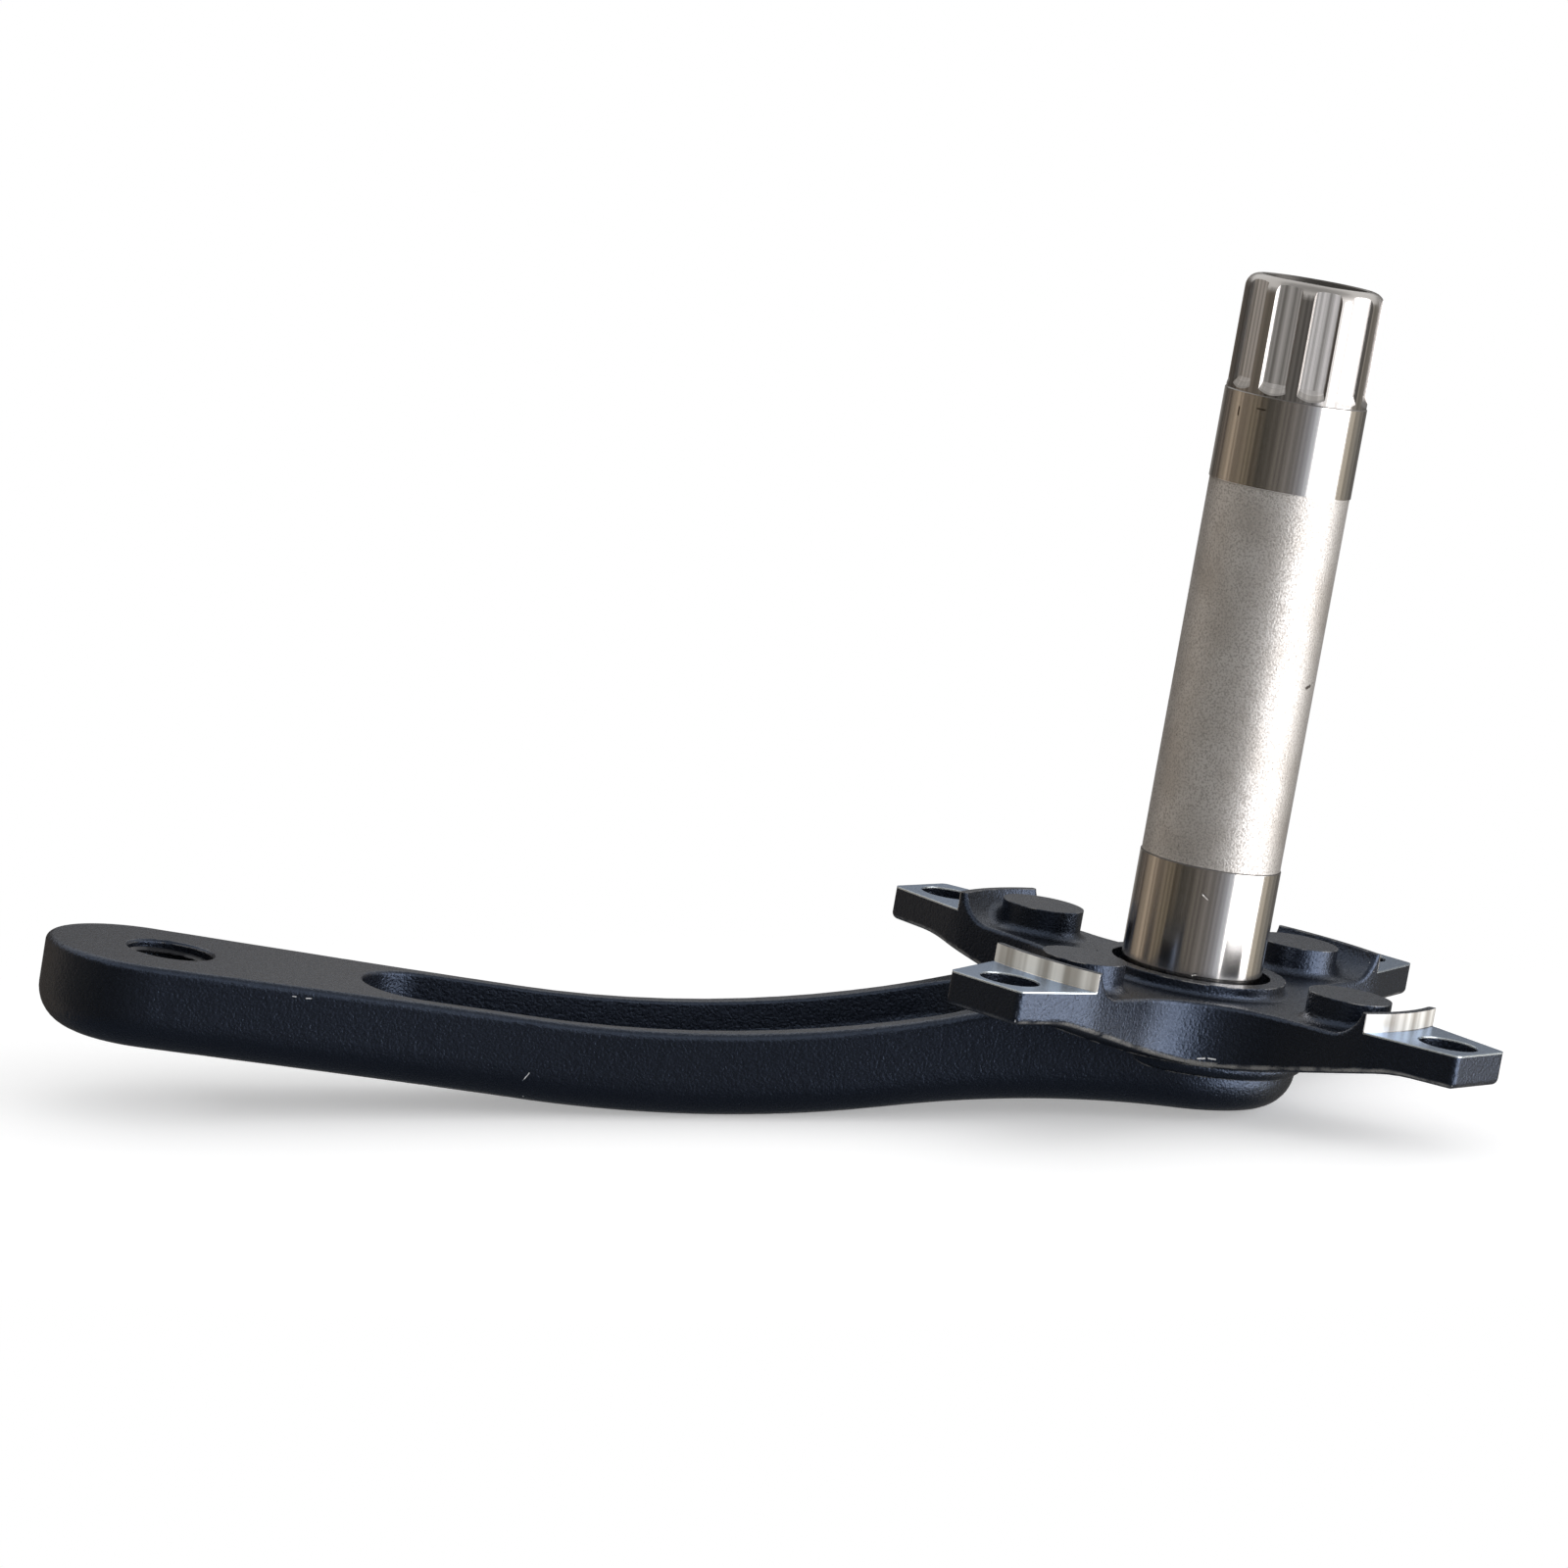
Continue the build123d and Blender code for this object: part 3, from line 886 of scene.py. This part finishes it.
@dataclass(frozen=True)
class HoleThread:
    """A helical ridge that stands inward from the wall of a threaded hole, in millimetres."""

    name: str
    mount: Mount
    slot: Slot
    finish: CutThread
    pitch: float
    depth: float
    sink: float = 0.04
    root_share: float = 0.46
    crest_share: float = 0.07
    lead_in: float = 0.8
    least_rise: float = 0.02
    steps_per_turn: int = 72
    sharp_angle: float = 30.0

    def corners(self, hole: MountSize, turn: float, turns: float) -> list[Vector]:
        """Places the ridge's section on the helix, which starts half a pitch into the hole.

        Args:
            hole: The threaded hole.
            turn: How many turns the helix has made at this section.
            turns: How many it makes in all.

        Returns:
            The section's corners, in metres.
        """
        rise = min(1.0, min(turn, turns - turn) / self.lead_in + self.least_rise)
        root = hole.radius + self.sink
        crest = hole.radius - self.depth * rise
        wide = self.pitch * self.root_share
        narrow = self.pitch * self.crest_share
        angle = math.tau * turn
        base = hole.low + self.pitch * (0.5 + turn)
        corners = []
        for radius, offset in ((root, -wide), (crest, -narrow), (crest, narrow), (root, wide)):
            side = Vector((radius * math.cos(angle), radius * math.sin(angle), 0))
            corner = Vector((hole.centre.x, hole.centre.y, base + offset)) + side
            corners.append(corner * MM)
        return corners

    def build(self) -> Object:
        """Builds the ridge as one closed mesh.

        Returns:
            The ridge's object.
        """
        hole = MountSize.read(self.mount)
        turns = hole.length / self.pitch - 1
        steps = int(turns * self.steps_per_turn)
        shape = bmesh.new()
        rows = []
        for step in range(steps + 1):
            corners = self.corners(hole, turns * step / steps, turns)
            rows.append([shape.verts.new(corner) for corner in corners])
        for before, after in zip(rows, rows[1:]):
            for this in range(len(before)):
                other = (this + 1) % len(before)
                shape.faces.new((before[this], before[other], after[other], after[this]))
        shape.faces.new(rows[0])
        shape.faces.new(rows[-1])
        bmesh.ops.recalc_face_normals(shape, faces=shape.faces)
        mesh = bpy.data.meshes.new(self.name)
        shape.to_mesh(mesh)
        shape.free()
        mesh.shade_smooth()
        mesh.set_sharp_from_angle(angle=math.radians(self.sharp_angle))
        piece = add_object(self.name, mesh)
        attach(piece, Body.ROOT.value)
        return piece

    def dress(self, piece: Object, effects: Effects) -> None:
        """Gives the ridge its finish."""
        piece.data.materials.append(self.finish.material(effects))


@dataclass(frozen=True)
class ThreadedPart:
    """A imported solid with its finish, and the thread in its hole."""

    solid: Solid
    finish: Finish
    thread: HoleThread

    def build(self) -> list[Object]:
        """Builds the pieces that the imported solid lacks."""
        return [self.thread.build()]

    def dress(self, pieces: list[Object], effects: Effects) -> list[Object]:
        """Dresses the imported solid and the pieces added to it.

        Args:
            pieces: The pieces that build gave.
            effects: The shared node groups.

        Returns:
            The solid's object and the pieces.
        """
        for piece in pieces:
            self.thread.dress(piece, effects)
        material = self.finish.material(effects)
        body = frame["nodes"][self.solid.value]
        if not body.material_slots:
            body.data.materials.append(material)
        for holder in body.material_slots:
            holder.material = material
        return [body, *pieces]


@dataclass(frozen=True)
class Forging(ThreadedPart):
    """The crank arm's forging and the thread in its pedal hole."""

    solid: Solid = Solid.CRANK_ARM
    finish: Finish = BlackAnodising()
    thread: HoleThread = HoleThread(
        name="pedal_hole_thread",
        mount=Mount.PEDAL_THREAD,
        slot=Slot.BLACK_ALUMINIUM,
        finish=CutThread(
            name="pedal_thread_black",
            flank=(0.012, 0.013, 0.017, 1.0),
            crest=(0.20, 0.20, 0.21, 1.0),
            metallic=0.3,
            roughness=(0.11, 0.19),
        ),
        pitch=1.27,
        depth=0.75,
    )


@dataclass(frozen=True)
class SpindleTube(ThreadedPart):
    """The hollow spindle and the thread in its open end."""

    solid: Solid = Solid.SPINDLE
    finish: Finish = SpindleSteel()
    thread: HoleThread = HoleThread(
        name="cap_hole_thread",
        mount=Mount.CAP_THREAD,
        slot=Slot.STEEL,
        finish=CutThread(
            name="cap_thread_steel",
            flank=(0.45, 0.43, 0.41, 1.0),
            crest=(0.62, 0.60, 0.57, 1.0),
            metallic=1.0,
            roughness=(0.21, 0.29),
        ),
        pitch=1.0,
        depth=0.35,
    )


@dataclass(frozen=True)
class Camera:
    """The camera, in metres and degrees: heading is to the right of +Y, and roll lifts its right side."""

    place: Point = (-0.20152, -0.95639, 0.16820)
    heading: float = 7.6151
    pitch: float = -8.7112
    roll: float = 9.8160
    focal_pixels: float = 5973.57
    sensor: float = 36.0
    nearest: float = 0.02

    def build(self) -> None:
        """Builds the camera and makes it the scene's own."""
        data = bpy.data.cameras.new("camera")
        data.sensor_width = self.sensor
        data.lens = self.sensor * self.focal_pixels / IMAGE_WIDTH
        data.clip_start = self.nearest
        camera = add_object("camera", data)
        turn = Matrix.Rotation(math.radians(-self.heading), 4, "Z")
        tip = Matrix.Rotation(math.radians(90 + self.pitch), 4, "X")
        roll = Matrix.Rotation(math.radians(self.roll), 4, "Z")
        camera.matrix_world = Matrix.Translation(self.place) @ turn @ tip @ roll
        bpy.context.scene.camera = camera


def full_turn(steps: int) -> list[float]:
    """Gives the angles of a full turn in equal steps."""
    return [math.tau * step / steps for step in range(steps)]


def stage_card(name: str, points: list[Point], faces: list[tuple[int, ...]]) -> Object:
    """Adds a bare card to the studio, which is seen in reflections alone.

    Args:
        name: The card's name.
        points: Its corners.
        faces: The corners of each face.

    Returns:
        The card's object.
    """
    mesh = bpy.data.meshes.new(name)
    mesh.from_pydata(points, [], faces)
    card = add_object(name, mesh)
    card.visible_camera = False
    card.visible_shadow = False
    card.visible_diffuse = False
    return card


def start_glow(name: str) -> tuple[Material, Graph]:
    """Starts a material without a surface shader.

    Args:
        name: The material's name.

    Returns:
        The material and its graph.
    """
    material = bpy.data.materials.new(name)
    material.use_nodes = True
    graph = Graph(material.node_tree)
    graph.tree.nodes.clear()
    return material, graph


def seen_rays(graph: Graph) -> Socket:
    """Adds a mask of the rays that show a thing directly, in reflections or through glass, and returns it."""
    rays = graph.add("ShaderNodeLightPath").outputs
    return graph.highest(rays["Is Camera Ray"], rays["Is Glossy Ray"], rays["Is Transmission Ray"])


@dataclass(frozen=True)
class Lid:
    """One level round card that closes the ring of cards in reflections: metres and brightness."""

    name: str
    height: float
    radius: float
    tone: Point
    steps: int = 48

    def build(self) -> None:
        """Builds the lid and its glow."""
        turns = full_turn(self.steps)
        points = [(self.radius * math.cos(t), self.radius * math.sin(t), self.height) for t in turns]
        lid = stage_card(self.name, points, [tuple(range(self.steps))])
        material, graph = start_glow(self.name)
        glow = graph.add("ShaderNodeEmission", {"Color": (*self.tone, 1.0), "Strength": 1.0})
        graph.add("ShaderNodeOutputMaterial", {"Surface": glow.outputs[0]})
        lid.data.materials.append(material)


@dataclass(frozen=True)
class Card:
    """One upright card of the studio, curved about the spindle: degrees of turn, metres and brightness."""

    name: str
    start: float
    end: float
    distance: float
    bottom: float
    top: float
    tones: tuple[tuple[float, Point], ...]
    streak_turn: float = 7.0
    streak_share: float = 0.50
    steps: int = 48

    def build(self, effects: Effects) -> None:
        """Builds the card.

        Args:
            effects: The shared node groups.
        """
        turns = np.radians(np.linspace(self.start, self.end, self.steps + 1))
        ring = [(self.distance * math.cos(t), self.distance * math.sin(t)) for t in turns]
        points = [(x, y, z) for x, y in ring for z in (self.bottom, self.top)]
        faces = [(2 * k, 2 * k + 2, 2 * k + 3, 2 * k + 1) for k in range(self.steps)]
        card = stage_card(self.name, points, faces)
        card.data.materials.append(self.material(effects))

    def material(self, effects: Effects) -> Material:
        """Builds the card's own glow, which changes with the turn about the spindle.

        Args:
            effects: The shared node groups.

        Returns:
            The material.
        """
        material, graph = start_glow(self.name)
        turn = graph.group(effects.place)["Turn"]
        tones = graph.add("ShaderNodeValToRGB", {0: graph.ramp(turn, self.start, self.end, smooth=False)})
        elements = tones.color_ramp.elements
        while len(elements) < len(self.tones):
            elements.new(0.5)
        for element, (angle, tone) in zip(elements, self.tones):
            element.position = (angle - self.start) / (self.end - self.start)
            element.color = (*tone, 1.0)
        noise = graph.streaks(turn, self.streak_turn)
        streaks = graph.ramp(noise, *NOISE_RANGE, 1 - self.streak_share, 1 + self.streak_share)
        glow = graph.add("ShaderNodeEmission", {"Color": tones.outputs[0], "Strength": streaks})
        graph.add("ShaderNodeOutputMaterial", {"Surface": glow.outputs[0]})
        return material


@dataclass(frozen=True)
class Window:
    """The soft light at the right of the object: degrees of turn, metres and brightness."""

    turn: float = -29.0
    distance: float = 0.75
    centre_height: float = 0.10
    width: float = 0.76
    height: float = 0.90
    brightness: float = 4.2
    colour: Point = (0.95, 0.95, 0.98)

    def build(self) -> None:
        """Builds the light, turned towards the spindle."""
        data = bpy.data.lights.new("window", "AREA")
        data.shape = "RECTANGLE"
        data.size = self.width
        data.size_y = self.height
        data.energy = self.brightness * math.pi * self.width * self.height
        data.color = self.colour
        light = add_object("window", data)
        across = math.cos(math.radians(self.turn))
        along = math.sin(math.radians(self.turn))
        light.location = (self.distance * across, self.distance * along, self.centre_height)
        light.rotation_mode = "QUATERNION"
        light.rotation_quaternion = Vector((-across, -along, 0)).to_track_quat("-Z", "Y")
        light.visible_camera = False


@dataclass(frozen=True)
class Floor:
    """The pale sheet that the part lies on, in metres, with an edge that melts into the background."""

    half_length: float = 0.26
    half_width: float = 0.15
    fade_start: float = 0.55
    fade_end: float = 0.98
    steps: int = 96
    paper: Colour = (0.88, 0.88, 0.88, 1.0)
    lift: float = 0.34

    @staticmethod
    def resting_line() -> tuple[Vector, Vector]:
        """Finds the two lines that the part lies on: the ends of the longest edge under its side view.

        Returns:
            The left and the right end, in the XZ plane.
        """
        points = []
        for node in frame["nodes"].values():
            flat = np.empty(3 * len(node.data.vertices), np.float32)
            node.data.vertices.foreach_get("co", flat)
            points.append(flat.reshape(-1, 3)[:, [0, 2]])
        hull = []
        for x, z in sorted(set(map(tuple, np.concatenate(points).round(6).tolist()))):
            while len(hull) > 1:
                (ax, az), (bx, bz) = hull[-2:]
                if (bx - ax) * (z - az) - (bz - az) * (x - ax) > 0:
                    break
                hull.pop()
            hull.append((x, z))
        left, right = max(zip(hull, hull[1:]), key=lambda pair: math.dist(*pair))
        return Vector((left[0], 0, left[1])), Vector((right[0], 0, right[1]))

    def build(self) -> None:
        """Builds the sheet under the part."""
        left, right = self.resting_line()
        slope = right - left
        low, high = cad_box
        middle = (low.x + high.x) / 2
        centre = left + slope * ((middle - left.x) / slope.x)
        turns = full_turn(self.steps)
        points = [(self.half_length * math.cos(t), self.half_width * math.sin(t), 0) for t in turns]
        mesh = bpy.data.meshes.new("floor")
        mesh.from_pydata(points, [], [range(self.steps)])
        mesh.materials.append(self.material())
        floor = add_object("floor", mesh)
        tilt = Matrix.Rotation(-math.atan2(slope.z, slope.x), 4, "Y")
        floor.matrix_world = Matrix.Translation(centre) @ tilt
        floor.visible_glossy = False

    def material(self) -> Material:
        """Builds the white paper, lifted to the background's white, and clear at its edge and from below.

        Returns:
            The material.
        """
        material, graph = start_glow("white_paper")
        here = graph.add("ShaderNodeTexCoord").outputs["Object"]
        spread = (1 / self.half_length, 1 / self.half_width, 0.0)
        reach = graph.measure("LENGTH", graph.vector("MULTIPLY", here, spread))
        inside = graph.ramp(reach, self.fade_end, self.fade_start)
        below = graph.add("ShaderNodeNewGeometry").outputs["Backfacing"]
        shown = graph.product(inside, graph.inverse(below))
        paper = graph.add("ShaderNodeBsdfDiffuse", {"Color": self.paper})
        glow = graph.add("ShaderNodeEmission", {"Strength": graph.product(seen_rays(graph), self.lift)})
        lifted = graph.add("ShaderNodeAddShader", {0: paper.outputs[0], 1: glow.outputs[0]})
        clear = graph.add("ShaderNodeBsdfTransparent")
        faded = graph.add("ShaderNodeMixShader", {0: shown, 1: clear.outputs[0], 2: lifted.outputs[0]})
        graph.add("ShaderNodeOutputMaterial", {"Surface": faded.outputs[0]})
        return material


@dataclass(frozen=True)
class Studio:
    """White surroundings, dim cards about the object, one soft window, the floor and the camera."""

    ambient: float = 0.75
    camera: Camera = Camera()
    window: Window = Window()
    floor: Floor = Floor()
    cards: tuple[Card, ...] = (
        Card(
            name="room_card",
            start=0.0,
            end=303.0,
            distance=0.85,
            bottom=-0.60,
            top=0.36,
            tones=ROOM_TONES,
        ),
        Card(
            name="back_card",
            start=28.0,
            end=62.0,
            distance=0.42,
            bottom=0.11,
            top=0.30,
            tones=((28.0, (0.42, 0.41, 0.40)), (62.0, (0.36, 0.35, 0.34))),
        ),
    )
    lids: tuple[Lid, ...] = (
        Lid("base_lid", -0.60, 0.86, (0.10, 0.108, 0.122)),
        Lid("ceiling_lid", 1.0, 0.58, (0.45, 0.45, 0.45)),
    )

    def world(self) -> None:
        """Makes the surroundings white to the eye and in reflections, and a plain ambient light elsewhere."""
        world = bpy.data.worlds.new("white_room")
        world.use_nodes = True
        graph = Graph(world.node_tree)
        graph.tree.nodes.clear()
        strength = graph.blend(seen_rays(graph), self.ambient, 1.0)
        glow = graph.add("ShaderNodeBackground", {"Color": (1, 1, 1, 1), "Strength": strength})
        graph.add("ShaderNodeOutputWorld", {"Surface": glow.outputs[0]})
        bpy.context.scene.world = world

    def build(self, effects: Effects) -> None:
        """Builds the studio about the part.

        Args:
            effects: The shared node groups.
        """
        self.world()
        self.camera.build()
        self.window.build()
        self.floor.build()
        for card in self.cards:
            card.build(effects)
        for lid in self.lids:
            lid.build()
        bpy.context.scene.view_settings.view_transform = "Standard"


def main() -> None:
    """Builds and dresses the part's sub-assemblies, then the studio about them."""
    logging.basicConfig(level=logging.INFO, format="%(name)s: %(message)s")
    effects = Effects()
    for assembly in (Forging(), SpindleTube()):
        for piece in assembly.dress(assembly.build(), effects):
            log.info("%s: %s, %d faces", type(assembly).__name__, piece.name, len(piece.data.polygons))
    Studio().build(effects)


if __name__ == "__main__":
    main()
